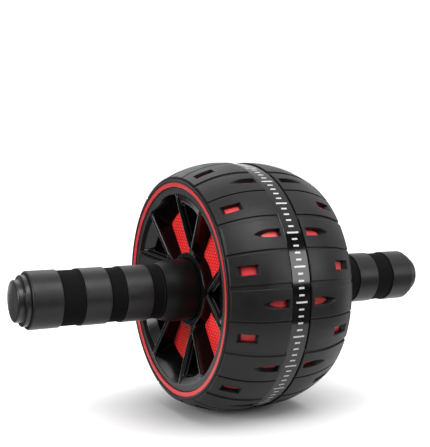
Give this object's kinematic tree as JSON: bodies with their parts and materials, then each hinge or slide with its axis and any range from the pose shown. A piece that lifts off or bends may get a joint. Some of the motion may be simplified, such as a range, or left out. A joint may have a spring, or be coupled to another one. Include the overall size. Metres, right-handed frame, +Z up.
{
  "type": "ab wheel roller",
  "caption": "Ab wheel roller: a wide crowned rubber wheel with a red core and V-spoked covers, turning on ball bearings between fixed, stepped hand grips at its sides.",
  "frame": {"origin": "centre of the wheel, on the axle, half way between the two handle ends", "axes": "+Y along the axle towards the right handle, +Z up, X is the way the wheel rolls"},
  "size_m": [0.175, 0.3216, 0.175],
  "materials": {
    "tread_rubber": "matte",
    "band_gloss": "gloss",
    "core_red": "satin",
    "cover_gloss": "gloss",
    "grip_smooth": "matte",
    "grip_textured": "matte",
    "collar_plastic": "satin",
    "cap_plastic": "satin",
    "handle_plastic": "matte",
    "axle_steel": "turned",
    "bearing_steel": "ground"
  },
  "bodies": {
    "handle_assembly": {"axle_shaft": "axle_steel", "bearing_spacer": "axle_steel", "left_bearing_inner_ring": "bearing_steel", "left_handle_core": "handle_plastic", "left_hub_collar": "collar_plastic", "left_handle_washer": "axle_steel", "left_handle_bolt": "axle_steel", "left_end_cap": "cap_plastic", "left_grip_band_outer": "grip_textured", "left_grip_sleeve_outer": "grip_smooth", "left_grip_band_middle": "grip_textured", "left_grip_sleeve_middle": "grip_smooth", "left_grip_band_inner": "grip_textured", "left_grip_sleeve_inner": "grip_smooth", "right_bearing_inner_ring": "bearing_steel", "right_handle_core": "handle_plastic", "right_hub_collar": "collar_plastic", "right_handle_washer": "axle_steel", "right_handle_bolt": "axle_steel", "right_end_cap": "cap_plastic", "right_grip_band_outer": "grip_textured", "right_grip_sleeve_outer": "grip_smooth", "right_grip_band_middle": "grip_textured", "right_grip_sleeve_middle": "grip_smooth", "right_grip_band_inner": "grip_textured", "right_grip_sleeve_inner": "grip_smooth"},
    "wheel": {"centre_band": "band_gloss", "core_screws": "axle_steel", "left_tyre": "tread_rubber", "left_core": "core_red", "left_spoke_cover": "cover_gloss", "left_bearing_outer_ring": "bearing_steel", "left_bearing_shields": "bearing_steel", "right_tyre": "tread_rubber", "right_core": "core_red", "right_spoke_cover": "cover_gloss", "right_bearing_outer_ring": "bearing_steel", "right_bearing_shields": "bearing_steel"},
    "left_ball_train": {"left_bearing_balls": "bearing_steel", "left_bearing_cage": "axle_steel"},
    "right_ball_train": {"right_bearing_balls": "bearing_steel", "right_bearing_cage": "axle_steel"}
  },
  "joints": [
    {"name": "wheel_spin", "type": "hinge", "parent": "handle_assembly", "child": "wheel", "pos_m": [0, 0, 0], "axis": [0, 1, 0], "continuous": true},
    {"name": "left_ball_train_turn", "type": "hinge", "parent": "handle_assembly", "child": "left_ball_train", "pos_m": [0, -0.029, 0], "axis": [0, 1, 0], "continuous": true},
    {"name": "right_ball_train_turn", "type": "hinge", "parent": "handle_assembly", "child": "right_ball_train", "pos_m": [0, 0.029, 0], "axis": [0, 1, 0], "continuous": true}
  ],
  "couplings": [
    {"joint": "left_ball_train_turn", "follows": "wheel_spin", "ratio": 0.60106},
    {"joint": "right_ball_train_turn", "follows": "wheel_spin", "ratio": 0.60106}
  ]
}
